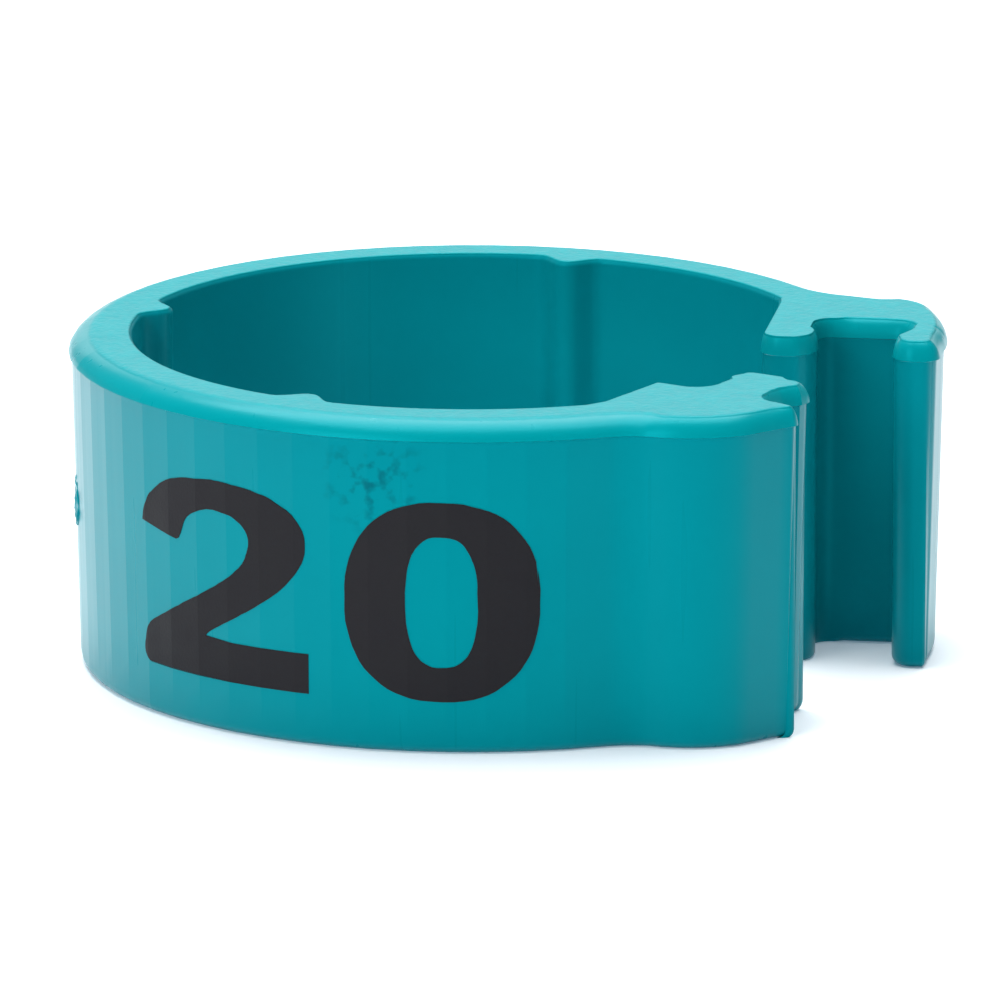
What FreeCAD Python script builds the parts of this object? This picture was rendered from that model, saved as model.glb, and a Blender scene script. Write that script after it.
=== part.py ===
"""Clip-on leg band for poultry: one springy plastic moulding, with a number printed on it twice.

The band lies flat, with +Z along the axis of the ring and the origin at the ring's centre on its
bottom face. The mouth faces +X. The socket arm is on the +Y side and the tongue arm on the -Y side.
It is drawn as moulded, with its mouth open. The moulding is divided where it bends: short webs of
the wall are flex zones, and what lies between them keeps its shape.
"""
import FreeCAD, Part
import math
import os
from FreeCAD import Placement, Rotation, Vector

os.makedirs("parts", exist_ok=True)

UP = Vector(0, 0, 1)

# ring, mm
INNER_DIAMETER = 16.0
WALL = 1.5
HEIGHT = 7.9
TOP_OUTER_ROUNDING = 0.45
BOTTOM_OUTER_ROUNDING = 0.25
INNER_ROUNDING = 0.2

# grip ribs inside the ring, mm and degrees
RIB_BASE = 1.6
RIB_CREST = 0.6
RIB_DEPTH = 0.55
RIB_SHOULDER = 0.8
RIB_FOOT = 0.3
BACK_RIB_AT = 180
SOCKET_RIB_AT = 90
TONGUE_RIB_AT = -102

# flex zones: places along each arm in degrees from the middle of the back, and the turn each
# one makes to close the band, in degrees
FLEX_LENGTH = 0.8
SOCKET_FLEX_AT = {"near": 12, "mid": 46, "far": 130}
TONGUE_FLEX_AT = {"near": 12, "mid": 46, "far": 124}
SOCKET_CLOSING = {"near": 5.0, "mid": 8.0, "far": 2.0}
TONGUE_CLOSING = {"near": 5.5, "mid": 3.0, "far": 1.0}

# clasp: the slot's closed end stands at SLOT_END_AT degrees, SLOT_OFFSET outside the middle of the
# wall, and the slot leans in from the ring's tangent by SLOT_LEAN degrees
SLOT_END_AT = 23
SLOT_OFFSET = 0.57
SLOT_LEAN = 14
SLOT_WIDTH = 2.16
SLOT_DEPTH = 2.05
SLOT_CORNER = 0.38
INNER_JAW = 1.2
OUTER_JAW = 0.92
INNER_NUB = 0.13
OUTER_NUB = 0.23
OUTER_JAW_REACH = 0.15
JAW_FLEX_LENGTH = 0.3
HEEL_RISE = 1.6
HEEL_SET_IN = 0.42
HEEL_BULGE = 0.08
HEEL_END = -1.2

# the nubs in the slot: where each begins, rises, is full and ends, from the slot's closed end
NUBS_FROM = -0.85
OUTER_NUB_RISES = -1.15
OUTER_NUB_FULL = 0.8
INNER_NUB_RISES = -1.02
INNER_NUB_FULL = -1.2
INNER_NUB_ENDS = -1.35

# the jaws' tips: how far from the tip each rounding or lead-in starts, and its middle
OUTER_TIP_ROUNDING = 0.45
OUTER_LEAD_IN = 0.55
INNER_LEAD_IN = 0.3
INNER_TIP_ROUNDING = 0.5

# tongue: its clearances in the slot, and its barbs, from the slot's closed end
SIDE_CLEARANCE = 0.08
END_CLEARANCE = 0.12
TIP_CLEARANCE = 0.1
BARBS_FULL = -0.6
OUTER_BARB_ENDS = -0.8
OUTER_BARB_FOOT = -1.3
INNER_BARB_ENDS = -0.86
INNER_BARB_FOOT = -1.02
INNER_NECK_ENDS = -1.5
NOSE_ROUNDING = 0.42
NOSE_BEVEL = 0.32
TONGUE_SWELL = 1.65
TONGUE_SWELL_SET_IN = 0.5
NOTCH_ROUNDING = 0.45
FACET_SET_IN = 0.15

# sprue mark left by the mould, on the tongue arm's outer face
GATE_AT = 202
GATE_RADIUS = 0.65
GATE_THICKNESS = 0.08

# printed numbers: a film of ink on the outer face
INK_THICKNESS = 0.04
DIGIT_HEIGHT = 4.74
DIGIT_MID_HEIGHT = 3.62
TWO_WIDTH = 5.1
ZERO_WIDTH = 4.65
STROKE = 1.35
FOOT_STROKE = 0.75 * STROKE
ZERO_CAP_STROKE = 0.6 * STROKE
TWO_CAP_STROKE = 0.7 * STROKE
FRONT_PRINT_AT = 265
REAR_PRINT_AT = 86
TWO_FROM_MIDDLE = -17
ZERO_FROM_MIDDLE = 18

INNER_R = INNER_DIAMETER / 2
OUTER_R = INNER_R + WALL
MID_R = INNER_R + WALL / 2
FLEX_HALF = math.degrees(FLEX_LENGTH / 2 / MID_R)
SLOT_HALF = SLOT_WIDTH / 2
REACH = 60  # larger than the whole band, for half-planes that divide it


def polar(radius, degrees, z=0):
    a = math.radians(degrees)
    return Vector(radius * math.cos(a), radius * math.sin(a), z)


def on_arm(side, from_back):
    """The angle of a place on an arm: side is +1 on the socket arm and -1 on the tongue arm."""
    return side * (180 - from_back)


def turn(centre, degrees):
    return Placement(Vector(), Rotation(UP, degrees), centre)


def closed(side, places, closing):
    """How an arm's end moves as the band is closed: its three flex zones turn, the far one first."""
    moved = Placement()
    for name in ("near", "mid", "far"):
        hinge = polar(MID_R, on_arm(side, places[name]))
        moved = moved * turn(hinge, -side * closing[name])
    return moved


def slot_frame():
    """Where the slot stands: x points out of the ring, y into the socket from the slot's closed end."""
    return Placement(polar(MID_R + SLOT_OFFSET, SLOT_END_AT), Rotation(UP, SLOT_END_AT - SLOT_LEAN))


def tongue_frame():
    """The same frame on the tongue arm, so that both agree when the band is closed."""
    socket = closed(1, SOCKET_FLEX_AT, SOCKET_CLOSING)
    tongue = closed(-1, TONGUE_FLEX_AT, TONGUE_CLOSING)
    return tongue.inverse() * socket * slot_frame()


def beside(a, b, share, out=0.0):
    """A point a share of the way from a to b, and out to the right of that way by a distance."""
    way = b - a
    right = way.cross(UP)
    right.normalize()
    return a + way * share + right * out


class Outline:
    """A closed outline on the floor, drawn with lines and three-point arcs."""

    def __init__(self, start):
        self.start = start
        self.at = start
        self.edges = []

    def line(self, *points):
        for p in points:
            self.edges.append(Part.LineSegment(self.at, p).toShape())
            self.at = p
        return self

    def arc(self, through, end):
        self.edges.append(Part.Arc(self.at, through, end).toShape())
        self.at = end
        return self

    def face(self):
        if self.at.distanceToPoint(self.start) > 1e-7:
            self.line(self.start)
        return Part.Face(Part.Wire(self.edges))


def save(node, shape):
    solids = shape.Solids
    made = solids[0] if len(solids) == 1 else Part.makeCompound(solids)
    made.exportStep("parts/" + node + ".step")


def ring_section():
    """The wall's section at the +X side, with its edges rounded."""
    top, low, inner = TOP_OUTER_ROUNDING, BOTTOM_OUTER_ROUNDING, INNER_ROUNDING
    bend = 1 - math.sqrt(0.5)

    def at(r, z):
        return Vector(r, 0, z)

    section = Outline(at(INNER_R + inner, 0)).line(at(OUTER_R - low, 0))
    section.arc(at(OUTER_R - low * bend, low * bend), at(OUTER_R, low))
    section.line(at(OUTER_R, HEIGHT - top))
    section.arc(at(OUTER_R - top * bend, HEIGHT - top * bend), at(OUTER_R - top, HEIGHT))
    section.line(at(INNER_R + inner, HEIGHT))
    section.arc(at(INNER_R + inner * bend, HEIGHT - inner * bend), at(INNER_R, HEIGHT - inner))
    section.line(at(INNER_R, inner))
    section.arc(at(INNER_R + inner * bend, inner * bend), at(INNER_R + inner, 0))
    return section.face()


def ring_span(start, end):
    """The stretch of wall from one angle to a larger one."""
    section = ring_section()
    section.rotate(Vector(), UP, start)
    return section.revolve(Vector(), UP, end - start)


def grip_rib(angle):
    """A rounded rib on the inner wall, over its full height but for the rounded edges."""
    base, crest = RIB_BASE / 2, RIB_CREST / 2
    wall_at = math.degrees(base / INNER_R)
    shoulder, foot = INNER_R - RIB_SHOULDER * RIB_DEPTH, INNER_R - RIB_FOOT * RIB_DEPTH
    foot_half = 2 * RIB_FOOT * base

    def at(r, across):
        return Vector(r, across, INNER_ROUNDING)

    rib = Outline(polar(INNER_R, -wall_at, INNER_ROUNDING))
    rib.arc(at(foot, -foot_half), at(shoulder, -crest))
    rib.arc(at(INNER_R - RIB_DEPTH, 0), at(shoulder, crest))
    rib.arc(at(foot, foot_half), polar(INNER_R, wall_at, INNER_ROUNDING))
    rib.arc(polar(INNER_R, 0, INNER_ROUNDING), rib.start)
    solid = rib.face().extrude(Vector(0, 0, HEIGHT - 2 * INNER_ROUNDING))
    solid.rotate(Vector(), UP, angle)
    return solid


def film(thickness):
    """A sleeve on the band's outer face, for what lies on that face."""
    outer = Part.makeCylinder(OUTER_R + thickness, HEIGHT)
    return outer.cut(Part.makeCylinder(OUTER_R, HEIGHT))


def gate_vestige():
    """The low round stub where the sprue was broken off, half way up."""
    stub = Part.makeCylinder(GATE_RADIUS, WALL + REACH, Vector(0, 0, HEIGHT / 2), Vector(1, 0, 0))
    stub.rotate(Vector(), UP, GATE_AT)
    return stub.common(film(GATE_THICKNESS))


def digit_point(across, up):
    return Vector(across, 0, DIGIT_MID_HEIGHT + up)


def on_band(face, angle):
    """A flat digit facing -Y, laid as ink on the outer face at an angle."""
    prism = face.extrude(Vector(0, -REACH, 0))
    prism.rotate(Vector(), UP, angle - 270)
    return prism.common(film(INK_THICKNESS))


def digit_zero():
    half_w, half_h = ZERO_WIDTH / 2, DIGIT_HEIGHT / 2
    outer = Part.Ellipse(digit_point(0, half_h), digit_point(half_w, 0), digit_point(0, 0))
    hole_h, hole_w = half_h - ZERO_CAP_STROKE, half_w - STROKE
    inner = Part.Ellipse(digit_point(0, hole_h), digit_point(hole_w, 0), digit_point(0, 0))
    faces = [Part.Face(Part.Wire(curve.toShape())) for curve in (outer, inner)]
    return faces[0].cut(faces[1]).Faces[0]


def digit_two():
    """A bowl, a diagonal stroke and a foot, as one closed outline."""
    half_w, half_h = TWO_WIDTH / 2, DIGIT_HEIGHT / 2
    foot = FOOT_STROKE
    bowl = 0.45 * half_h
    two = Outline(digit_point(-half_w, -half_h))
    two.line(digit_point(half_w, -half_h), digit_point(half_w, foot - half_h))
    two.line(digit_point(0.3 * STROKE - 0.25 * half_w, foot - half_h))
    two.arc(digit_point(0.75 * half_w, -0.02 * half_h), digit_point(half_w, bowl))
    two.arc(digit_point(0, half_h), digit_point(-half_w, bowl))
    two.line(digit_point(STROKE - half_w, 0.8 * bowl))
    two.arc(digit_point(0, half_h - TWO_CAP_STROKE), digit_point(half_w - STROKE, bowl))
    two.arc(digit_point(0.15 * half_w, -0.1 * half_h), digit_point(-half_w, foot - half_h))
    return two.face()


def socket_outline():
    """The socket end in plan: the wall swells, then divides into an inner and an outer jaw."""
    frame = slot_frame()
    root = on_arm(1, SOCKET_FLEX_AT["far"]) - FLEX_HALF
    outer_face, inner_face = SLOT_HALF + OUTER_JAW, -SLOT_HALF - INNER_JAW
    outer_nub, inner_nub = SLOT_HALF - OUTER_NUB, INNER_NUB - SLOT_HALF
    outer_tip, inner_tip = -SLOT_DEPTH - OUTER_JAW_REACH, -SLOT_DEPTH
    corner = SLOT_CORNER * (1 - math.sqrt(0.5))

    def at(x, y):
        return frame.multVec(Vector(x, y, 0))

    # the arm swells to the heel, and runs straight down the outer jaw
    heel = at(outer_face - HEEL_SET_IN, HEEL_RISE)
    socket = Outline(polar(OUTER_R, root))
    socket.arc(beside(socket.start, heel, 0.13, 0.07), beside(socket.start, heel, 0.3, -0.03))
    socket.line(beside(socket.start, heel, 0.6, -0.33))
    socket.arc(beside(socket.start, heel, 0.87, -0.36), heel)
    socket.arc(at(outer_face - HEEL_BULGE, HEEL_RISE / 4), at(outer_face, HEEL_END))
    socket.line(at(outer_face, outer_tip + OUTER_TIP_ROUNDING))

    # the outer jaw's tip and nub
    middle = outer_face - OUTER_JAW / 2
    socket.arc(at(outer_face - 0.13, outer_tip + 0.12), at(middle, outer_tip))
    socket.arc(at(outer_nub + 0.18, outer_tip + 0.14), at(outer_nub, outer_tip + OUTER_LEAD_IN))
    socket.line(at(outer_nub, outer_tip + OUTER_NUB_FULL))
    socket.arc(at(outer_nub + 0.45 * OUTER_NUB, OUTER_NUB_RISES), at(SLOT_HALF, NUBS_FROM))

    # the slot's closed end
    socket.line(at(SLOT_HALF, -SLOT_CORNER))
    socket.arc(at(SLOT_HALF - corner, -corner), at(SLOT_HALF - SLOT_CORNER, 0))
    socket.line(at(SLOT_CORNER - SLOT_HALF, 0))
    socket.arc(at(corner - SLOT_HALF, -corner), at(-SLOT_HALF, -SLOT_CORNER))

    # the inner jaw's nub and tip
    socket.line(at(-SLOT_HALF, NUBS_FROM))
    socket.arc(at(inner_nub - 0.4 * INNER_NUB, INNER_NUB_RISES), at(inner_nub, INNER_NUB_FULL))
    socket.line(at(inner_nub, INNER_NUB_ENDS))
    lead_in = inner_nub - INNER_LEAD_IN
    socket.arc(at(inner_nub - 0.08, inner_tip + 0.35), at(lead_in, inner_tip + 0.1))
    socket.arc(at(lead_in - 0.1, inner_tip + 0.03), at(lead_in - 0.25, inner_tip))
    socket.line(at(inner_face + INNER_TIP_ROUNDING, inner_tip))
    cut_off = (1 - math.sqrt(0.5)) * INNER_TIP_ROUNDING
    rounded = inner_tip + INNER_TIP_ROUNDING
    socket.arc(at(inner_face + cut_off, inner_tip + cut_off), at(inner_face, rounded))

    # back to the arm along the ring's inner wall
    socket.line(ring_corner(frame, inner_face))
    into_ring = (math.degrees(math.atan2(socket.at.y, socket.at.x)) + root) / 2
    socket.arc(polar(INNER_R, into_ring), polar(INNER_R, root))
    return socket.face()


def ring_corner(frame, x):
    """Where the line at x in a clasp frame, going up into the arm, meets the ring's inner wall."""
    foot = frame.multVec(Vector(x, 0, 0))
    along = frame.Rotation.multVec(Vector(0, 1, 0))
    half = foot.dot(along)
    return foot + along * (math.sqrt(half * half + INNER_R * INNER_R - foot.dot(foot)) - half)


def tongue_outline():
    """The tongue end in plan: the wall swells, then narrows to a barbed nose between two notches."""
    frame = tongue_frame()
    root = on_arm(-1, TONGUE_FLEX_AT["far"]) + FLEX_HALF
    outer_face, inner_face = SLOT_HALF + OUTER_JAW, -SLOT_HALF - INNER_JAW
    barb = SLOT_HALF - SIDE_CLEARANCE
    outer_neck = SLOT_HALF - OUTER_NUB - SIDE_CLEARANCE
    inner_neck = INNER_NUB - SLOT_HALF + SIDE_CLEARANCE
    lip = -SLOT_DEPTH - OUTER_JAW_REACH - TIP_CLEARANCE
    notch = -SLOT_DEPTH - TIP_CLEARANCE
    facet = inner_face + FACET_SET_IN
    tip = -END_CLEARANCE

    def at(x, y):
        return frame.multVec(Vector(x, y, 0))

    # the arm swells to the shoulder that the outer jaw's tip meets
    shoulder = at(outer_face - TONGUE_SWELL_SET_IN, lip - TONGUE_SWELL)
    tongue = Outline(polar(OUTER_R, root))
    tongue.arc(beside(tongue.start, shoulder, 0.13, -0.05), beside(tongue.start, shoulder, 0.27, 0))
    tongue.arc(beside(tongue.start, shoulder, 0.65, 0.27), shoulder)
    tongue.line(at(outer_face - 0.1, lip - 0.45))
    tongue.arc(at(outer_face - 0.05, lip - 0.25), at(outer_face - 0.2, lip - 0.08))

    # the outer notch, the neck and the outer barb
    tongue.line(at(outer_neck + NOTCH_ROUNDING, lip))
    tongue.arc(at(outer_neck + 0.15, lip + 0.15), at(outer_neck, lip + NOTCH_ROUNDING + 0.05))
    tongue.line(at(outer_neck, OUTER_BARB_FOOT))
    tongue.arc(at(outer_neck + 0.06, -1.1), at(barb, OUTER_BARB_ENDS))
    tongue.line(at(barb, BARBS_FULL))

    # the nose, and the inner barb, which is undercut more sharply
    tongue.arc(at(barb - 0.12, -0.27), at(barb - NOSE_ROUNDING, tip))
    tongue.line(at(NOSE_BEVEL + 0.08 - barb, tip))
    tongue.arc(at(0.18 - barb, tip - 0.07), at(0.08 - barb, tip - 0.3))
    tongue.line(at(-barb, tip - 0.55), at(-barb, INNER_BARB_ENDS))
    tongue.line(at(inner_neck, INNER_BARB_FOOT), at(inner_neck, INNER_NECK_ENDS))

    # the inner notch and the flat facet that the inner jaw's tip meets
    tongue.arc(at(inner_neck - 0.1, notch + 0.2), at(inner_neck - 0.4, notch))
    tongue.line(at(facet + FACET_SET_IN, notch), at(facet, notch - 0.08))
    fillet = beside(tongue.at, polar(INNER_R, root), 0.83)
    tongue.line(at(facet, frame.inverse().multVec(fillet).y))
    tongue.line(polar(INNER_R, root))
    return tongue.face()


def half_plane(frame, low, high, x_from=-REACH, x_to=REACH):
    """A tall block between two values of y in a clasp frame, for dividing an end."""
    block = Part.makeBox(x_to - x_from, high - low, HEIGHT + 2, Vector(x_from, low, -1))
    block.Placement = frame
    return block


def socket_end():
    """The socket end's solids by node name."""
    whole = socket_outline().extrude(Vector(0, 0, HEIGHT))
    frame = slot_frame()
    gap = JAW_FLEX_LENGTH / 2
    outer_jaw = whole.common(half_plane(frame, -REACH, -gap, x_from=0))
    jaw_flex = whole.common(half_plane(frame, -gap, gap, x_from=SLOT_HALF))
    inner_jaw = whole.common(half_plane(frame, -REACH, -gap, x_to=0))
    block = whole.cut([outer_jaw, jaw_flex, inner_jaw])
    return {
        "socket_block": block,
        "inner_jaw": inner_jaw,
        "outer_jaw": outer_jaw,
        "jaw_flex": jaw_flex,
    }


def tongue_end():
    """The tongue end's solids by node name."""
    whole = tongue_outline().extrude(Vector(0, 0, HEIGHT))
    neck = half_plane(tongue_frame(), 0.1 - SLOT_DEPTH, REACH)
    return {"tongue_nose": whole.common(neck), "tongue_block": whole.cut(neck)}


def add_arm(side, name, places, rib_at):
    """The ring's stretches on one arm, from the back towards the clasp."""
    angles = {zone: on_arm(side, places[zone]) for zone in places}
    for zone, angle in angles.items():
        save(name + "_flex_" + zone, ring_span(angle - FLEX_HALF, angle + FLEX_HALF))
    for span, a, b in (("shoulder", "near", "mid"), ("side", "mid", "far")):
        ends = sorted((angles[a] - side * FLEX_HALF, angles[b] + side * FLEX_HALF))
        save(name + "_" + span, ring_span(*ends))
    save(name + "_side_rib", grip_rib(rib_at))


def add_print(name, angle):
    save(name + "_digit_two", on_band(digit_two(), angle + TWO_FROM_MIDDLE))
    save(name + "_digit_zero", on_band(digit_zero(), angle + ZERO_FROM_MIDDLE))


back_ends = SOCKET_FLEX_AT["near"] - FLEX_HALF, TONGUE_FLEX_AT["near"] - FLEX_HALF
save("back_span", ring_span(180 - back_ends[0], 180 + back_ends[1]))
save("back_rib", grip_rib(BACK_RIB_AT))
add_arm(1, "socket_arm", SOCKET_FLEX_AT, SOCKET_RIB_AT)
add_arm(-1, "tongue_arm", TONGUE_FLEX_AT, TONGUE_RIB_AT)
save("gate_vestige", gate_vestige())
add_print("front", FRONT_PRINT_AT)
add_print("rear", REAR_PRINT_AT)
for node, solid in {**socket_end(), **tongue_end()}.items():
    save(node, solid)
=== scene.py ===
import math

import bpy
from mathutils import Matrix, Vector, noise


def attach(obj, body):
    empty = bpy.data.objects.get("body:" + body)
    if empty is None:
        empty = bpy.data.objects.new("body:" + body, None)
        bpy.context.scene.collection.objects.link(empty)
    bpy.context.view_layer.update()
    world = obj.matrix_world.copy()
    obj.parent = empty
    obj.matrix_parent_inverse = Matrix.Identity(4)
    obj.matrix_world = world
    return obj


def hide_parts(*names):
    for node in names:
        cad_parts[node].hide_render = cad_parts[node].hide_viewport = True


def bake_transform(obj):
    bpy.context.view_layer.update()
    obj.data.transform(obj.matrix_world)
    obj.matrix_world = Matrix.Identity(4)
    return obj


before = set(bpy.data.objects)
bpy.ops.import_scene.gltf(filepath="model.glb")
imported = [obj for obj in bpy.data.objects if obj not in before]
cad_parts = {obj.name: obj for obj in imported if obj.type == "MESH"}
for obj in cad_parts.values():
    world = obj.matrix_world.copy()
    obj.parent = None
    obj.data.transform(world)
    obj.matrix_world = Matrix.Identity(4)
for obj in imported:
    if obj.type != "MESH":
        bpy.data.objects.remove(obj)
for stray in ("Cube", "Light", "Camera"):
    if stray in bpy.data.objects:
        bpy.data.objects.remove(bpy.data.objects[stray])
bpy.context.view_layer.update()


# The moulding: one strip of teal polypropylene, injected as an open ring with a slotted socket at
# one end and a barbed tongue at the other. It is drawn in plan in millimetres and raised to its
# height. The rim is rounded, wide on the ring and narrow in the clasp, and stands out by a small
# lip over the outer wall, which leans in towards the bottom for the mould's draft.
OUTER_R = 9.5
INNER_R = 8.0
HEIGHT = 7.9
FLATS = 64
FLAT_EDGE_AT = 238.8
INNER_STEPS = 360
SOCKET_ROOT = 47.38
TONGUE_ROOT = -53.38
RIBS_AT = (90, 180, 258)
RIB_HALF = 0.8
RIB_DEPTH = 0.55
RIB_CREST = 0.1
OUTER_ROUNDING = 0.6
LOW_ROUNDING = 0.25
POINT_SPACING = 0.25
INNER_ROUNDING = 0.11
ROUNDING_RISE = 0.5
RIB_ROUNDING = 0.12
RIM_HEIGHT = 0.45
INNER_EDGE_HEIGHT = 0.12
OUTER_LIP = 0.08
CLASP_LIP = 0.035
DRAFT = 0.17
LIP_HEIGHT = 0.03


def polar(radius, degrees, z=0.0):
    a = math.radians(degrees)
    return Vector((radius * math.cos(a), radius * math.sin(a), z))


def angle_of(point):
    return math.degrees(math.atan2(point.y, point.x)) % 360


def clasp_frame(x, y, turned):
    """Where an end of the clasp stands: its x axis points out of the ring."""
    return Matrix.Translation((x, y, 0)) @ Matrix.Rotation(math.radians(turned), 4, "Z")


SLOT_FRAME = clasp_frame(8.5791, 3.6416, 9.0)
TONGUE_FRAME = clasp_frame(8.2880, -2.2780, -15.5)


class Line:
    """A drawn line: points, and how wide the moulding's top edge is rounded at each."""

    def __init__(self, start, rounding):
        self.points = [(start, rounding)]

    def to(self, end, rounding):
        start = self.points[-1][0]
        steps = max(1, round((end - start).length / POINT_SPACING))
        for i in range(1, steps + 1):
            self.points.append((start.lerp(end, i / steps), rounding))
        return self

    def arc(self, through, end, rounding, steps=10):
        a = self.points[-1][0]
        b, c = through, end
        d = 2 * (a.x * (b.y - c.y) + b.x * (c.y - a.y) + c.x * (a.y - b.y))
        aa, bb, cc = a.length_squared, b.length_squared, c.length_squared
        centre = Vector(
            (
                (aa * (b.y - c.y) + bb * (c.y - a.y) + cc * (a.y - b.y)) / d,
                (aa * (c.x - b.x) + bb * (a.x - c.x) + cc * (b.x - a.x)) / d,
                0,
            )
        )
        turn = (a - centre).xy.angle_signed((b - centre).xy) + (b - centre).xy.angle_signed(
            (c - centre).xy
        )
        for i in range(1, steps + 1):
            spoke = Matrix.Rotation(-turn * i / steps, 4, "Z") @ (a - centre)
            self.points.append((centre + spoke, rounding))
        return self


def beside(a, b, share, out=0.0):
    """A point a share of the way from a to b, and out to the right of that way."""
    way = b - a
    return a + way * share + Vector((way.y, -way.x, 0)).normalized() * out


def at_slot(x, y):
    return SLOT_FRAME @ Vector((x, y, 0))


def at_tongue(x, y):
    return TONGUE_FRAME @ Vector((x, y, 0))


heel = at_slot(1.58, 1.6)
socket = Line(polar(OUTER_R, SOCKET_ROOT), OUTER_ROUNDING)
root = socket.points[0][0]
socket.arc(beside(root, heel, 0.13, 0.07), beside(root, heel, 0.3, -0.03), OUTER_ROUNDING)
socket.to(beside(root, heel, 0.6, -0.33), OUTER_ROUNDING)
socket.arc(beside(root, heel, 0.87, -0.36), heel, 0.38)
socket.arc(at_slot(1.92, 0.4), at_slot(2.0, -1.2), 0.33)
socket.to(at_slot(2.0, -1.75), 0.3)
socket.arc(at_slot(1.87, -2.08), at_slot(1.54, -2.2), 0.28)
socket.arc(at_slot(1.03, -2.06), at_slot(0.85, -1.65), 0.24)
socket.to(at_slot(0.85, -1.4), 0.16)
socket.arc(at_slot(0.9535, -1.15), at_slot(1.08, -0.85), 0.14)
socket.to(at_slot(1.08, -0.38), 0.2)
socket.arc(at_slot(0.9687, -0.1113), at_slot(0.7, 0), 0.26)
socket.to(at_slot(-0.7, 0), 0.3)
socket.arc(at_slot(-0.9687, -0.1113), at_slot(-1.08, -0.38), 0.26)
socket.to(at_slot(-1.08, -0.85), 0.16)
socket.arc(at_slot(-1.002, -1.02), at_slot(-0.95, -1.2), 0.12)
socket.to(at_slot(-0.95, -1.35), 0.14)
socket.arc(at_slot(-1.03, -1.7), at_slot(-1.25, -1.95), 0.22)
socket.arc(at_slot(-1.35, -2.02), at_slot(-1.5, -2.05), 0.2)
socket.to(at_slot(-1.78, -2.05), 0.24)
socket.arc(at_slot(-2.13, -1.9), at_slot(-2.28, -1.55), 0.24)
inner_foot = at_slot(-2.28, 0)
up_slot = SLOT_FRAME.to_3x3() @ Vector((0, 1, 0))
half = inner_foot.dot(up_slot)
reach = math.sqrt(half**2 + INNER_R**2 - inner_foot.length_squared) - half
corner = inner_foot + up_slot * reach
socket.to(corner, INNER_ROUNDING)

root = polar(OUTER_R, TONGUE_ROOT)
shoulder = at_tongue(1.5, -3.95)
tongue = Line(root, OUTER_ROUNDING)
tongue.arc(beside(root, shoulder, 0.13, -0.05), beside(root, shoulder, 0.27, 0), OUTER_ROUNDING)
tongue.arc(beside(root, shoulder, 0.65, 0.27), shoulder, 0.4)
tongue.to(at_tongue(1.9, -2.75), 0.34)
tongue.arc(at_tongue(1.95, -2.55), at_tongue(1.8, -2.38), 0.19)
tongue.to(at_tongue(1.22, -2.3), 0.16)
tongue.arc(at_tongue(0.92, -2.15), at_tongue(0.77, -1.8), 0.16)
tongue.to(at_tongue(0.77, -1.3), 0.2)
tongue.arc(at_tongue(0.83, -1.1), at_tongue(1.0, -0.8), 0.22)
tongue.to(at_tongue(1.0, -0.6), 0.26)
tongue.arc(at_tongue(0.88, -0.27), at_tongue(0.58, -0.12), 0.3)
tongue.to(at_tongue(-0.6, -0.12), 0.3)
tongue.arc(at_tongue(-0.82, -0.19), at_tongue(-0.92, -0.42), 0.2)
tongue.to(at_tongue(-1.0, -0.67), 0.16)
tongue.to(at_tongue(-1.0, -0.86), 0.1)
tongue.to(at_tongue(-0.87, -1.02), 0.1)
tongue.to(at_tongue(-0.87, -1.5), 0.12)
tongue.arc(at_tongue(-0.97, -1.95), at_tongue(-1.27, -2.15), 0.14)
tongue.to(at_tongue(-1.98, -2.15), 0.14)
tongue.to(at_tongue(-2.13, -2.23), 0.12)
inner_end = polar(INNER_R, TONGUE_ROOT)
fillet = beside(tongue.points[-1][0], inner_end, 0.83)
tongue.to(at_tongue(-2.13, (TONGUE_FRAME.inverted() @ fillet).y), 0.15)
tongue.to(inner_end, INNER_ROUNDING)


def pick(mesh, choose, kind="polygons"):
    """Selects the faces, edges or vertices of the mesh in edit mode that a test names."""
    bpy.ops.object.mode_set(mode="OBJECT")
    for part in (mesh.vertices, mesh.edges, mesh.polygons):
        part.foreach_set("select", [False] * len(part))
    for element in getattr(mesh, kind):
        element.select = choose(element)
    bpy.ops.object.mode_set(mode="EDIT")


bpy.ops.object.select_all(action="DESELECT")
bpy.ops.mesh.primitive_circle_add(
    vertices=FLATS, radius=OUTER_R, rotation=(0, 0, math.radians(FLAT_EDGE_AT - 90))
)
moulding = bpy.context.active_object
bpy.ops.object.transform_apply(rotation=True)
bpy.ops.object.mode_set(mode="EDIT")
bpy.ops.mesh.select_mode(type="VERT")
plan = moulding.data
pick(
    plan,
    lambda v: not SOCKET_ROOT + 0.5 < angle_of(v.co) < TONGUE_ROOT % 360 - 0.5,
    "vertices",
)
bpy.ops.mesh.delete(type="VERT")

# the inner wall, from the socket's inner corner round to the tongue, with its three ribs
bpy.ops.mesh.primitive_circle_add(vertices=INNER_STEPS, radius=INNER_R)
pick(
    plan,
    lambda v: v.co.length < INNER_R + 0.1
    and not angle_of(corner) + 0.3 < angle_of(v.co) < TONGUE_ROOT % 360 - 0.3,
    "vertices",
)
bpy.ops.mesh.delete(type="VERT")
bpy.ops.object.mode_set(mode="OBJECT")
for v in plan.vertices:
    for rib in RIBS_AT:
        across = abs(math.radians(angle_of(v.co) - rib)) * INNER_R
        if v.co.length < INNER_R + 0.1 and across < RIB_HALF:
            share = min(1, max(0, (across / RIB_HALF - RIB_CREST) / (1 - RIB_CREST)))
            v.co *= 1 - RIB_DEPTH / INNER_R * (1 - share * share * (3 - 2 * share))
bpy.ops.object.mode_set(mode="EDIT")


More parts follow.
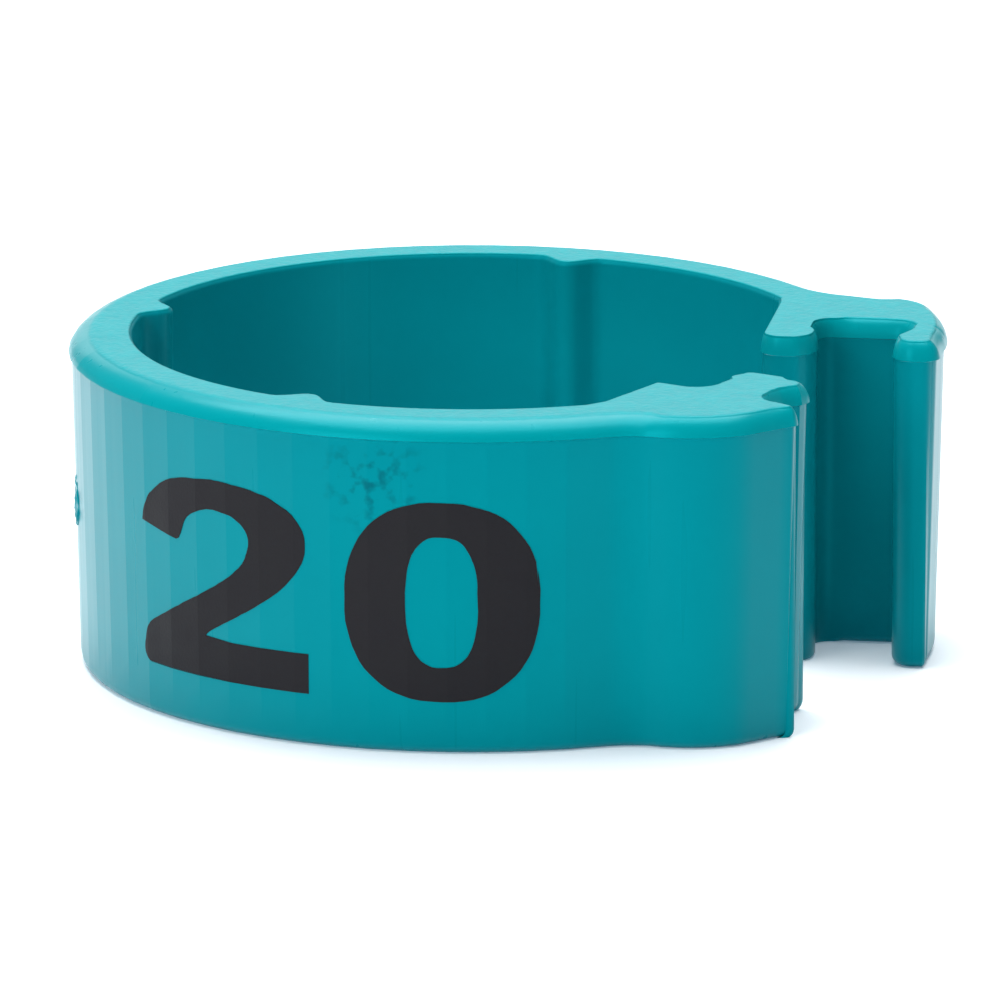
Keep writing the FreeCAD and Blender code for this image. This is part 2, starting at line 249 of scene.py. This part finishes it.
def draw(points):
    """Extrudes a line of vertices through the points, from the wall's vertex nearest the first."""
    nearest = min(plan.vertices, key=lambda v: (v.co - points[0]).length)
    here = nearest.co.copy()
    pick(plan, lambda v: v.index == nearest.index, "vertices")
    for there in points:
        bpy.ops.mesh.extrude_region_move(TRANSFORM_OT_translate={"value": there - here})
        here = there
    bpy.ops.object.mode_set(mode="OBJECT")
    last = sorted(plan.vertices, key=lambda v: (v.co - points[-1]).length)[:2]
    last = {v.index for v in last}
    pick(plan, lambda v: v.index in last, "vertices")
    bpy.ops.mesh.merge(type="CENTER")
    bpy.ops.object.mode_set(mode="OBJECT")


bpy.ops.object.mode_set(mode="OBJECT")
draw([p for p, _ in socket.points])
draw([p for p, _ in tongue.points])
bpy.ops.object.mode_set(mode="EDIT")
bpy.ops.mesh.select_all(action="SELECT")
bpy.ops.mesh.edge_face_add()
bpy.ops.mesh.select_mode(type="FACE")
bpy.ops.object.mode_set(mode="OBJECT")

# The plan is divided where the ring keeps its shape, so that each stretch between two such places
# is a piece of its own that spans one of the flexing webs.
BACK_TO_SOCKET = FLAT_EDGE_AT - 12 * 360 / FLATS
ROOT_TO_SOCKET_BEND = FLAT_EDGE_AT - 15 * 360 / FLATS
BEND_TO_SOCKET_WALL = FLAT_EDGE_AT - 21 * 360 / FLATS
BACK_TO_TONGUE = FLAT_EDGE_AT - 9 * 360 / FLATS
ROOT_TO_TONGUE_BEND = FLAT_EDGE_AT - 5 * 360 / FLATS
BEND_TO_TONGUE_WALL = FLAT_EDGE_AT - 360 / FLATS
JAW_CUT = -0.38


def middle_angle(face):
    spokes = [moulding.data.vertices[i].co for i in face.vertices]
    return angle_of(sum((s.normalized() for s in spokes), Vector()))


def cut(near, spot, normal):
    """Cuts the plan face whose middle lies nearest to an angle."""
    mesh = moulding.data
    chosen = min(mesh.polygons, key=near).index
    pick(mesh, lambda face: face.index == chosen)
    bpy.ops.mesh.bisect(plane_co=spot, plane_no=normal, threshold=1e-5)
    bpy.ops.object.mode_set(mode="OBJECT")


for seam, side in (
    (BACK_TO_SOCKET, 180),
    (BACK_TO_TONGUE, 270),
    (ROOT_TO_SOCKET_BEND, 60),
    (BEND_TO_SOCKET_WALL, 60),
    (ROOT_TO_TONGUE_BEND, 300),
    (BEND_TO_TONGUE_WALL, 300),
):
    across = polar(1, seam + 90)
    cut(lambda face: abs(middle_angle(face) - side), polar(OUTER_R, seam), across)
cut(lambda face: abs(middle_angle(face) - 60), at_slot(0, JAW_CUT), up_slot)

# It is raised to its height in levels. Each level is set in where the edge is rounded, and where
# the wall leans.
ROUND_STEPS = 8
LOW_STEPS = 5
WALL_STEPS = 8
BORDER = 0.015
CHAMFER_SHARE = 0.3
RIM_FADES_OVER = 1.0
LEANS_FROM_R = 8.6
LEANS_FULLY_AFTER = 0.3
roundings = socket.points + tongue.points
roundings += [(polar(INNER_R - RIB_DEPTH, at), RIB_ROUNDING) for at in RIBS_AT]


def rounding_at(point):
    radius = OUTER_ROUNDING if point.xy.length > (OUTER_R + INNER_R) / 2 else INNER_ROUNDING
    for p, r in roundings:
        radius = min(radius, r + ROUNDING_RISE * (p.xy - point.xy).length)
    return radius


spots, ways_in, ways_out = [v.co.copy() for v in plan.vertices], {}, {}
shared = {}
for face in plan.polygons:
    for key in face.edge_keys:
        shared[key] = shared.get(key, 0) + 1
for face in plan.polygons:
    ring = list(face.vertices)
    if face.normal.z < 0:
        ring.reverse()
    for i, j in zip(ring, ring[1:] + ring[:1]):
        if shared[min(i, j), max(i, j)] == 1:
            way = (spots[j] - spots[i]).normalized()
            ways_out[i] = ways_in[j] = Vector((-way.y, way.x, 0))
inward = {i: (ways_in[i] + ways_out[i]) / (1 + ways_in[i].dot(ways_out[i])) for i in ways_in}
wide = {i: rounding_at(spots[i]) for i in ways_in}
tall, outside = {}, {}
for i in ways_in:
    spot = spots[i]
    to_inner = min((spot - corner).length, (spot - inner_end).length, RIM_FADES_OVER)
    tall[i] = INNER_EDGE_HEIGHT
    if spot.length > INNER_R + 0.01 or abs(spot.y) < abs(corner.y) and spot.x > 0:
        tall[i] += (RIM_HEIGHT - INNER_EDGE_HEIGHT) * to_inner
    facing = -inward[i].dot(spot.normalized())
    share = min(1, max(0, (facing - 0.3) / 0.5))
    share *= min(1, max(0, (spot.length - LEANS_FROM_R) / LEANS_FULLY_AFTER))
    outside[i] = share * share * (3 - 2 * share)


def level(i, step):
    """How far in and how high the vertex i of the plan stands at a step of the rise."""
    low, top, high = min(wide[i], LOW_ROUNDING), wide[i], tall[i]
    lip = (CLASP_LIP + (OUTER_LIP - CLASP_LIP) * outside[i]) * (high / RIM_HEIGHT) ** 3
    draft = DRAFT * outside[i]
    if step == 0:
        return lip + draft + low + BORDER, 0
    step -= 1
    if step <= LOW_STEPS:
        t = math.pi / 2 * step / LOW_STEPS
        return lip + draft + low * (1 - math.sin(t)), low * (1 - math.cos(t))
    step -= LOW_STEPS
    if step <= WALL_STEPS:
        up = step / WALL_STEPS
        return lip + draft * (1 - up), low + (HEIGHT - high - LIP_HEIGHT - low) * up
    step -= WALL_STEPS + 1
    if step <= ROUND_STEPS:
        t = math.pi / 2 * step / ROUND_STEPS
        flat = CHAMFER_SHARE * step / ROUND_STEPS
        round_share = 1 - CHAMFER_SHARE
        aside = flat + round_share * (1 - math.cos(t))
        return top * aside, HEIGHT - high * (1 - flat - round_share * math.sin(t))
    return top + BORDER, HEIGHT


standing = {i: i for i in inward}
for step in range(LOW_STEPS + WALL_STEPS + ROUND_STEPS + 4):
    if step > 0:
        bpy.ops.object.mode_set(mode="EDIT")
        if step == 1:
            bpy.ops.mesh.select_all(action="SELECT")
        bpy.ops.mesh.extrude_region_move()
        bpy.ops.object.mode_set(mode="OBJECT")
        where = {tuple(plan.vertices[i].co): k for k, i in standing.items()}
        standing = {where[tuple(v.co)]: v.index for v in plan.vertices if v.select}
    for k, i in standing.items():
        aside, height = level(k, step)
        plan.vertices[i].co = spots[k] + inward[k] * aside + Vector((0, 0, height))
bpy.ops.object.mode_set(mode="EDIT")
bpy.ops.mesh.select_all(action="SELECT")
bpy.ops.mesh.normals_make_consistent(inside=False)
bpy.ops.object.mode_set(mode="OBJECT")


# The moulding's plastic: teal polypropylene, injected against a polished and wire-cut core and
# spark-eroded end plates. The walls are satin with fine lines up the draw of the mould, the rim is
# smooth and painted a brighter teal as a painted highlight of the light from above, and the flat
# end faces are finely grained and painted a paler teal as a painted sheen of the bright backdrop.
MM = 0.001
TEAL = "#00828C"
DEEP_TEAL = "#007A85"
# a brighter teal for the rim band and the end faces: a painted highlight of the light from above
PAINTED_HIGHLIGHT_TEAL = "#008A92"
# a paler teal with a touch of red for the end faces: a painted sheen of the bright backdrop
PAINTED_SHEEN_TEAL = "#08939A"
SHEEN_TEAL = "#18B0BC"
INK_SPLASH = "#035E69"


def linear(colour):
    parts = [int(colour[i : i + 2], 16) / 255 for i in (1, 3, 5)]
    return [c / 12.92 if c <= 0.04045 else ((c + 0.055) / 1.055) ** 2.4 for c in parts] + [1]


def add(tree, kind, inputs=None, **settings):
    """Adds a node with its settings; an input is a value, or the output that it is linked to."""
    made = tree.nodes.new(kind)
    for key, value in settings.items():
        setattr(made, key, value)
    for key, value in (inputs or {}).items():
        if isinstance(value, bpy.types.NodeSocket):
            tree.links.new(value, made.inputs[key])
        else:
            made.inputs[key].default_value = value
    return made.outputs


polypropylene = bpy.data.materials.new("moulded_polypropylene_teal")
polypropylene.use_nodes = True
tree = polypropylene.node_tree
surface = tree.nodes["Principled BSDF"]
place = add(tree, "ShaderNodeTexCoord")["Object"]
mm = add(tree, "ShaderNodeVectorMath", {0: place, 1: (1000,) * 3}, operation="MULTIPLY")[0]
part = add(tree, "ShaderNodeSeparateXYZ", {0: mm})
in_plan = add(tree, "ShaderNodeVectorMath", {0: mm, 1: (1, 1, 0)}, operation="MULTIPLY")[0]
radius = add(tree, "ShaderNodeVectorMath", {0: in_plan}, operation="LENGTH")["Value"]


def past(value, low, full):
    """How far a value has gone between two others, as a smooth share."""
    limits = {"Value": value, "From Min": low, "From Max": full}
    return add(tree, "ShaderNodeMapRange", limits, interpolation_type="SMOOTHSTEP")[0]


# the rim's band starts where the outer walls' lip ends, and the clasp has it all round; the grain
# keeps to the flat end faces
has_rim = {0: past(radius, INNER_R + 0.1, INNER_R + 0.3), 1: past(part["X"], 6.0, 6.4)}
has_rim = add(tree, "ShaderNodeMath", has_rim, operation="MAXIMUM")[0]
# the rim band's smooth relief is real; its brighter teal is a painted highlight of the light from
# above
rim = past(part["Z"], HEIGHT - RIM_HEIGHT - 0.04, HEIGHT - RIM_HEIGHT)
rim = add(tree, "ShaderNodeMath", {0: rim, 1: has_rim}, operation="MULTIPLY")[0]
ends = {0: past(part["Z"], HEIGHT - 0.05, HEIGHT - 0.005), 1: past(part["Z"], 0.05, 0.005)}
ends = add(tree, "ShaderNodeMath", ends, operation="MAXIMUM")[0]
# lines up the walls, about 0.25 mm apart, and the slow change of shade of the plastic's flow
up_walls = add(tree, "ShaderNodeMapping", {"Vector": mm, "Scale": (1, 1, 0.02)})[0]
lines = add(tree, "ShaderNodeTexNoise", {"Vector": up_walls, "Scale": 4, "Detail": 1})[0]
flow = add(tree, "ShaderNodeTexNoise", {"Vector": mm, "Scale": 0.3, "Detail": 2})[0]
wall_colour = add(
    tree,
    "ShaderNodeMix",
    {0: flow, 6: linear(DEEP_TEAL), 7: linear(TEAL)},
    data_type="RGBA",
)[2]
# faint specks of ink that the printing pad threw above the front number, over about 2.4 mm
splash_at = polar(OUTER_R, 273.5, 6.5)
from_splash = add(tree, "ShaderNodeVectorMath", {0: mm, 1: splash_at}, operation="DISTANCE")
near_splash = add(
    tree, "ShaderNodeMapRange", {0: from_splash["Value"], "From Min": 1.5, "From Max": 0.5}
)[0]
drops = add(tree, "ShaderNodeTexNoise", {"Vector": mm, "Scale": 3.2, "Detail": 2})[0]
drops = add(tree, "ShaderNodeMapRange", {"Value": drops, "From Min": 0.5, "From Max": 0.7})[0]
splash = add(tree, "ShaderNodeMath", {0: drops, 1: near_splash}, operation="MULTIPLY")[0]
wall_colour = add(
    tree, "ShaderNodeMix", {0: splash, 6: wall_colour, 7: linear(INK_SPLASH)}, data_type="RGBA"
)[2]
# the spark-eroded grain: pits of 0.14 mm over patches of 0.4 mm
grain = add(tree, "ShaderNodeTexNoise", {"Vector": mm, "Scale": 7, "Detail": 3})[0]
patches = add(tree, "ShaderNodeTexNoise", {"Vector": mm, "Scale": 2.5, "Detail": 3})[0]
rough_ground = add(tree, "ShaderNodeMath", {0: grain, 1: patches}, operation="ADD")[0]
# the end faces' paler teal, laid on in the grain's patches, is a painted sheen of the bright
# backdrop; the grain's relief is real
grain_sheen_share = add(
    tree, "ShaderNodeMapRange", {"Value": rough_ground, "From Min": 0.75, "From Max": 1.25}
)[0]
end_sheen_colour = add(
    tree,
    "ShaderNodeMix",
    {0: grain_sheen_share, 6: linear(PAINTED_HIGHLIGHT_TEAL), 7: linear(PAINTED_SHEEN_TEAL)},
    data_type="RGBA",
)[2]
# the rim band takes the brighter teal: a painted highlight of the light from above
wall_and_rim_highlight_colour = add(
    tree, "ShaderNodeMix", {0: rim, 6: wall_colour, 7: linear(PAINTED_HIGHLIGHT_TEAL)}, data_type="RGBA"
)[2]
colour = add(tree, "ShaderNodeMix", {0: ends, 6: wall_and_rim_highlight_colour, 7: end_sheen_colour}, data_type="RGBA")[2]
tree.links.new(colour, surface.inputs["Base Color"])
wall_gloss = add(tree, "ShaderNodeMapRange", {"Value": lines, "To Min": 0.24, "To Max": 0.36})[0]
end_gloss = add(tree, "ShaderNodeMapRange", {"Value": grain, "To Min": 0.34, "To Max": 0.56})[0]
gloss = add(tree, "ShaderNodeMix", {0: ends, 2: wall_gloss, 3: end_gloss})[0]
tree.links.new(gloss, surface.inputs["Roughness"])
wall_relief = add(tree, "ShaderNodeMath", {0: lines, 1: 0.06}, operation="MULTIPLY")[0]
edge_relief = add(tree, "ShaderNodeMix", {0: rim, 2: wall_relief, 3: 0.03})[0]
relief = add(tree, "ShaderNodeMix", {0: ends, 2: edge_relief, 3: rough_ground})[0]
bump = add(
    tree, "ShaderNodeBump", {"Height": relief, "Strength": 0.7, "Distance": 0.03 * MM}
)[0]
tree.links.new(bump, surface.inputs["Normal"])
surface.inputs["IOR"].default_value = 1.49
surface.inputs["Specular Tint"].default_value = linear(SHEEN_TEAL)

# The stretches of the ring: each runs between two places that keep their shape and spans one
# web. They are cut from the one moulding, and the cut faces are closed.
MID_R = (OUTER_R + INNER_R) / 2


def middle_of(face):
    corners = [plan.vertices[i].co for i in face.vertices]
    return sum(corners, Vector()) / len(corners), angle_of(
        sum((c.xy.normalized().to_3d() for c in corners), Vector())
    )


def in_jaw(face):
    spot = SLOT_FRAME.inverted() @ middle_of(face)[0]
    return spot.x > 0 and spot.y < JAW_CUT and middle_of(face)[0].y > 0


def between(low, high):
    return lambda face: low < middle_of(face)[1] < high


stretches = (
    ("outer_jaw_leg", in_jaw),
    ("back_wall", between(BACK_TO_SOCKET, BACK_TO_TONGUE)),
    ("socket_arm_root", between(ROOT_TO_SOCKET_BEND, BACK_TO_SOCKET)),
    ("socket_arm_bend", between(BEND_TO_SOCKET_WALL, ROOT_TO_SOCKET_BEND)),
    ("socket_arm_wall", between(0, BEND_TO_SOCKET_WALL)),
    ("tongue_arm_root", between(BACK_TO_TONGUE, ROOT_TO_TONGUE_BEND)),
    ("tongue_arm_bend", between(ROOT_TO_TONGUE_BEND, BEND_TO_TONGUE_WALL)),
)
walls = {}
for name, belongs in stretches:
    pick(plan, belongs)
    bpy.ops.mesh.separate(type="SELECTED")
    bpy.ops.object.mode_set(mode="OBJECT")
    walls[name] = next(o for o in bpy.context.selected_objects if o is not moulding)
    walls[name].name = name
    walls[name].select_set(False)
walls["tongue_arm_wall"] = moulding
moulding.name = "tongue_arm_wall"


def finish_plastic(piece, angle=30):
    """Turns a piece from millimetres to metres, shades it and gives it the plastic."""
    bpy.ops.object.select_all(action="DESELECT")
    piece.select_set(True)
    bpy.context.view_layer.objects.active = piece
    piece.matrix_world = Matrix.Scale(MM, 4) @ piece.matrix_world
    bpy.ops.object.transform_apply(location=True, rotation=True, scale=True)
    bpy.ops.object.shade_smooth_by_angle(angle=math.radians(angle))
    piece.data.materials.clear()
    piece.data.materials.append(polypropylene)


for piece in walls.values():
    bpy.ops.object.select_all(action="DESELECT")
    piece.select_set(True)
    bpy.context.view_layer.objects.active = piece
    mesh = piece.data
    bpy.ops.object.mode_set(mode="EDIT")
    bpy.ops.mesh.select_all(action="SELECT")
    bpy.ops.mesh.fill_holes(sides=0)
    bpy.ops.mesh.select_all(action="SELECT")
    bpy.ops.mesh.normals_make_consistent(inside=False)
    bpy.ops.object.mode_set(mode="OBJECT")
    finish_plastic(piece)
    bpy.ops.object.mode_set(mode="EDIT")
    bpy.ops.mesh.select_mode(type="EDGE")
    # only the flats' upright edges, which are longer than the rim's and stand near the full radius
    flat_edge = (OUTER_R - OUTER_LIP - DRAFT - 0.02) * MM

    def splits_flats(edge):
        a, b = (mesh.vertices[i].co for i in edge.vertices)
        on_ring = max(a.xy.length, b.xy.length) < OUTER_R * MM
        return on_ring and min(a.xy.length, b.xy.length) > flat_edge and abs(a.z - b.z) > 0.5 * MM

    pick(mesh, splits_flats, "edges")
    bpy.ops.mesh.mark_sharp()
    bpy.ops.mesh.select_mode(type="FACE")
    bpy.ops.object.mode_set(mode="OBJECT")


def bends(name, fixed, moving, start, end, *nodes):
    """Bakes a stretch of the wall's placing into its mesh and hides the parts that it stands for;
    the two bodies and the two places in plan, in mm, are not used.
    """
    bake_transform(walls[name])
    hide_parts(*nodes)


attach(walls["back_wall"], "back")
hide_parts("back_span", "back_rib")
bends(
    "socket_arm_root", "back", "socket_shoulder",
    polar(MID_R, 171), polar(MID_R, 160),
    "socket_arm_flex_near", "socket_arm_shoulder",
)
bends(
    "socket_arm_bend", "socket_shoulder", "socket_side",
    polar(MID_R, 143), polar(MID_R, 124),
    "socket_arm_flex_mid",
)
bends(
    "socket_arm_wall", "socket_side", "socket_end",
    polar(MID_R, 53.5), polar(MID_R, 44.5),
    "socket_arm_side", "socket_arm_side_rib", "socket_arm_flex_far", "socket_block", "inner_jaw",
)
bends(
    "tongue_arm_root", "back", "tongue_shoulder",
    polar(MID_R, 188.5), polar(MID_R, 198),
    "tongue_arm_flex_near", "tongue_arm_shoulder",
)
bends(
    "tongue_arm_bend", "tongue_shoulder", "tongue_side",
    polar(MID_R, 214), polar(MID_R, 232),
    "tongue_arm_flex_mid",
)
bends(
    "tongue_arm_wall", "tongue_side", "tongue_end",
    polar(MID_R, 298.5), polar(MID_R, 309),
    "tongue_arm_side", "tongue_arm_side_rib", "tongue_arm_flex_far", "tongue_block", "tongue_nose",
)

# The outer jaw: the thin springy leg outside the slot. It is part of the moulding, and flexes out
# from its root while the barbed tongue passes.
JAW_ROOT, JAW_BENT = at_slot(1.54, -0.38), at_slot(1.54, -1.15)
bends(
    "outer_jaw_leg", "socket_end", "jaw",
    JAW_ROOT, JAW_BENT,
    "outer_jaw", "jaw_flex",
)

# The sprue mark: the low rough stub where the plastic's feed was broken off, half way up the wall.
# It is a pitted oval about 1.2 mm across, standing on the drafted wall.
GATE_AT = 202
GATE_R = 0.56
GATE_TALL = 1.15
GATE_SUNK = 0.07
GATE_THICKNESS = 0.09
WALL_LEAN = math.atan2(DRAFT, HEIGHT)
bpy.ops.object.select_all(action="DESELECT")
bpy.ops.mesh.primitive_circle_add(vertices=48, radius=GATE_R, fill_type="NGON")
mark = bpy.context.active_object
mark.name = "sprue_mark"
bpy.ops.object.mode_set(mode="EDIT")
bpy.ops.mesh.select_all(action="SELECT")
bpy.ops.mesh.extrude_region_move(TRANSFORM_OT_translate={"value": (0, 0, GATE_THICKNESS)})
for inset, rise in (
    (0.04, 0.02),
    (0.05, 0.0),
    (0.06, -0.04),
    (0.08, -0.02),
    (0.08, 0.01),
    (0.07, 0.02),
):
    bpy.ops.mesh.inset(thickness=inset, depth=rise)
bpy.ops.mesh.poke()
bpy.ops.mesh.select_all(action="SELECT")
bpy.ops.mesh.normals_make_consistent(inside=False)
bpy.ops.object.mode_set(mode="OBJECT")
for v in mark.data.vertices:
    if v.co.z > 0.03:
        v.co.z += 0.05 * (noise.noise(v.co * 7) - 0.3)
    v.co.xy *= 1 + 0.14 * noise.noise(Vector((v.co.x, v.co.y, 0)) * 3)
    v.co.x *= GATE_TALL
gate_wall = OUTER_R - OUTER_LIP - DRAFT / 2
mark.matrix_world = (
    Matrix.Translation(polar(gate_wall - GATE_SUNK, GATE_AT, HEIGHT / 2))
    @ Matrix.Rotation(math.radians(GATE_AT), 4, "Z")
    @ Matrix.Rotation(math.radians(90) - WALL_LEAN, 4, "Y")
)
finish_plastic(mark, 25)
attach(mark, "tongue_shoulder")
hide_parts("gate_vestige")

# The printed number: a film of dark ink put on by a soft pad, so it follows the wall's flats. Its
# edges are a little ragged where the pad lifted off.
INK_PROUD = 0.016
INK_SUNK = -0.01
DIGIT_HEIGHT = 4.74
DIGIT_MIDDLE = 3.62
ZERO_WIDTH = 4.65
TWO_WIDTH = 5.1
FRONT_AT, REAR_AT = 265, 86
TWO_ASIDE, ZERO_ASIDE = -17, 18
RAGGED = 0.02

pad_ink = bpy.data.materials.new("pad_printing_ink_black")
pad_ink.use_nodes = True
tree = pad_ink.node_tree
surface = tree.nodes["Principled BSDF"]
place = add(tree, "ShaderNodeTexCoord")["Object"]
mm = add(tree, "ShaderNodeVectorMath", {0: place, 1: (1000,) * 3}, operation="MULTIPLY")[0]
mottle = add(tree, "ShaderNodeTexNoise", {"Vector": mm, "Scale": 1.2, "Detail": 4})[0]
colour = add(
    tree,
    "ShaderNodeMix",
    {0: mottle, 6: linear("#04040A"), 7: linear("#0D0A13")},
    data_type="RGBA",
)[2]
tree.links.new(colour, surface.inputs["Base Color"])
gloss = add(tree, "ShaderNodeMapRange", {"Value": mottle, "To Min": 0.38, "To Max": 0.6})[0]
tree.links.new(gloss, surface.inputs["Roughness"])
speckle = add(tree, "ShaderNodeTexNoise", {"Vector": mm, "Scale": 14, "Detail": 2})[0]
bump = add(
    tree, "ShaderNodeBump", {"Height": speckle, "Strength": 0.35, "Distance": 0.01 * MM}
)[0]
tree.links.new(bump, surface.inputs["Normal"])
surface.inputs["Specular IOR Level"].default_value = 0.22


def through(points, steps=8):
    """A smooth line through points, as lists of x and y."""
    made = []
    for i in range(1, len(points) - 2):
        a, b, c, d = (Vector(p) for p in points[i - 1 : i + 3])
        for k in range(steps):
            t = k / steps
            made.append(
                0.5
                * (2 * b + (c - a) * t + (2 * a - 5 * b + 4 * c - d) * t**2
                   + (3 * b - a - 3 * c + d) * t**3)
            )
    return made


def draw_loop(points):
    """Draws a closed line in the edited mesh and leaves it selected."""
    bpy.ops.mesh.select_all(action="DESELECT")
    bpy.ops.mesh.primitive_circle_add(vertices=len(points), radius=1)
    bpy.ops.object.mode_set(mode="OBJECT")
    mesh = bpy.context.active_object.data
    for v, p in zip(list(mesh.vertices)[-len(points):], points):
        v.co = Vector((p[0], p[1], 0))
    bpy.ops.object.mode_set(mode="EDIT")


def digit(name, loops, at, body, node):
    """Makes one digit of closed lines, wraps it on the wall's flats at an angle, and inks it."""
    bpy.ops.object.select_all(action="DESELECT")
    bpy.ops.mesh.primitive_plane_add(size=1)
    piece = bpy.context.active_object
    piece.name = name
    bpy.ops.object.mode_set(mode="EDIT")
    bpy.ops.mesh.delete(type="VERT")
    bpy.ops.mesh.select_mode(type="EDGE")
    for loop in loops:
        draw_loop(loop)
    bpy.ops.mesh.select_all(action="SELECT")
    bpy.ops.mesh.fill(use_beauty=True)
    first = math.floor((at - FLAT_EDGE_AT) / (360 / FLATS)) - 4
    for k in range(first, first + 9):
        across = math.radians(FLAT_EDGE_AT + k * 360 / FLATS - at) * OUTER_R
        bpy.ops.mesh.select_all(action="SELECT")
        bpy.ops.mesh.bisect(plane_co=(across, 0, 0), plane_no=(1, 0, 0), threshold=1e-4)
    bpy.ops.mesh.select_mode(type="FACE")
    bpy.ops.mesh.select_all(action="SELECT")
    bpy.ops.mesh.extrude_region_move(TRANSFORM_OT_translate={"value": (0, 0, 1)})
    bpy.ops.object.mode_set(mode="OBJECT")
    for v in piece.data.vertices:
        turned = at + math.degrees(v.co.x / OUTER_R)
        flat = (turned - FLAT_EDGE_AT) % (360 / FLATS) - 180 / FLATS
        up = DIGIT_MIDDLE + v.co.y
        wall_height = HEIGHT - RIM_HEIGHT - LIP_HEIGHT - LOW_ROUNDING
        set_in = OUTER_LIP + DRAFT * (1 - (up - LOW_ROUNDING) / wall_height)
        depth = INK_PROUD if v.co.z > 0.5 else INK_SUNK
        wall = OUTER_R * math.cos(math.pi / FLATS) - set_in + depth
        v.co = polar(wall / math.cos(math.radians(flat)), turned, up)
    bpy.ops.object.mode_set(mode="EDIT")
    bpy.ops.mesh.select_all(action="SELECT")
    bpy.ops.mesh.normals_make_consistent(inside=False)
    bpy.ops.object.mode_set(mode="OBJECT")
    piece.scale = (MM,) * 3
    bpy.ops.object.transform_apply(scale=True)
    bpy.ops.object.shade_flat()
    piece.data.materials.append(pad_ink)
    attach(piece, body)
    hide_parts(node)


def ragged(points, seed):
    made = []
    for p in points:
        spot = Vector((p[0], p[1], seed))
        made.append(
            (
                p[0] + RAGGED * noise.noise(spot * 2.5) + RAGGED / 2 * noise.noise(spot * 9),
                p[1] + RAGGED * noise.noise(spot * 2.5 + Vector((7, 0, 0)))
                + RAGGED / 2 * noise.noise(spot * 9 + Vector((7, 0, 0))),
            )
        )
    return made


def oval(width, height, fullness, count=72):
    made = []
    for k in range(count):
        t = 2 * math.pi * k / count
        c, s = math.cos(t), math.sin(t)
        made.append(
            (
                width / 2 * math.copysign(abs(c) ** (2 / fullness), c),
                height / 2 * math.copysign(abs(s) ** (2 / fullness), s),
            )
        )
    return made


zero = [
    oval(ZERO_WIDTH, DIGIT_HEIGHT, 2.35),
    oval(0.37 * ZERO_WIDTH, 0.66 * DIGIT_HEIGHT, 2.5),
]
two_line = (
    [(-0.46, -0.5), (-0.25, -0.5), (0.0, -0.5), (0.25, -0.5), (0.5, -0.5), (0.5, -0.4),
     (0.5, -0.3), (0.3, -0.3), (0.1, -0.3)]
    + through([(0.1, -0.3), (-0.07, -0.29), (0.12, -0.165), (0.32, -0.03), (0.455, 0.12),
               (0.49, 0.25), (0.44, 0.375), (0.3, 0.46), (0.1, 0.5), (-0.1, 0.497), (-0.3, 0.455),
               (-0.44, 0.36), (-0.5, 0.245), (-0.505, 0.215)])
    + [(-0.505, 0.215), (-0.38, 0.19), (-0.25, 0.165)]
    + through([(-0.3, 0.1), (-0.235, 0.175), (-0.18, 0.29), (-0.05, 0.35), (0.09, 0.34),
               (0.18, 0.27), (0.185, 0.18), (0.12, 0.07), (-0.06, -0.06), (-0.3, -0.2),
               (-0.46, -0.3), (-0.5, -0.39), (-0.5, -0.46), (-0.46, -0.5), (-0.4, -0.5)])
)
two = [[(x * TWO_WIDTH, y * DIGIT_HEIGHT) for x, y in two_line]]
for side, at, body, seed in (
    ("front", FRONT_AT, "tongue_side", 1),
    ("rear", REAR_AT, "socket_side", 5),
):
    for word, loops, aside in (("two", two, TWO_ASIDE), ("zero", zero, ZERO_ASIDE)):
        digit(
            side + "_print_" + word,
            [ragged(loop, seed + aside) for loop in loops],
            at + aside,
            body,
            side + "_digit_" + word,
        )

# The table and the light: white paper under a wide soft box, with weaker ones before and behind.
bpy.ops.object.select_all(action="DESELECT")
bpy.ops.mesh.primitive_plane_add(size=3)
table = bpy.context.active_object
table.name = "table"
paper = bpy.data.materials.new("white_paper")
paper.use_nodes = True
surface = paper.node_tree.nodes["Principled BSDF"]
surface.inputs["Base Color"].default_value = (0.88, 0.9, 0.92, 1)
surface.inputs["Roughness"].default_value = 0.9
surface.inputs["Emission Color"].default_value = (0.6, 0.8, 1, 1)
surface.inputs["Emission Strength"].default_value = 0.18
table.data.materials.append(paper)

world = bpy.data.worlds.new("studio")
bpy.context.scene.world = world
world.use_nodes = True
world.node_tree.nodes["Background"].inputs["Color"].default_value = (1, 1, 1, 1)
world.node_tree.nodes["Background"].inputs["Strength"].default_value = 0.13
bpy.context.scene.view_settings.view_transform = "Standard"


def soft_box(name, size, power, place, target):
    bpy.ops.object.light_add(type="AREA", location=place)
    lamp = bpy.context.active_object
    lamp.name = name
    lamp.data.size = size
    lamp.data.energy = power
    lamp.rotation_euler = (Vector(target) - Vector(place)).to_track_quat("-Z", "Y").to_euler()


soft_box("top_box", 0.3, 1.9, (-0.03, 0.06, 0.3), (0, 0, 0))
soft_box("front_box", 0.2, 0.85, (-0.12, -0.34, 0.16), (0, 0, 0.004))
soft_box("back_box", 0.4, 0.5, (-0.14, 0.45, 0.15), (0, 0, 0.004))

CAMERA_AZIMUTH = 17.2
CAMERA_ELEVATION = 13.9
CAMERA_DISTANCE = 0.32
FRAME_WIDTH = 0.0236
CAMERA_AIM = Vector((0.000695, 0, 0.0038))
a, e = math.radians(CAMERA_AZIMUTH), math.radians(CAMERA_ELEVATION)
back = Vector((math.sin(a) * math.cos(e), -math.cos(a) * math.cos(e), math.sin(e)))
bpy.ops.object.camera_add()
camera = bpy.context.active_object
camera.data.lens = camera.data.sensor_width * CAMERA_DISTANCE / FRAME_WIDTH
camera.location = CAMERA_AIM + back * CAMERA_DISTANCE
camera.rotation_euler = (-back).to_track_quat("-Z", "Y").to_euler()
camera.data.clip_start = 0.01
bpy.context.scene.camera = camera
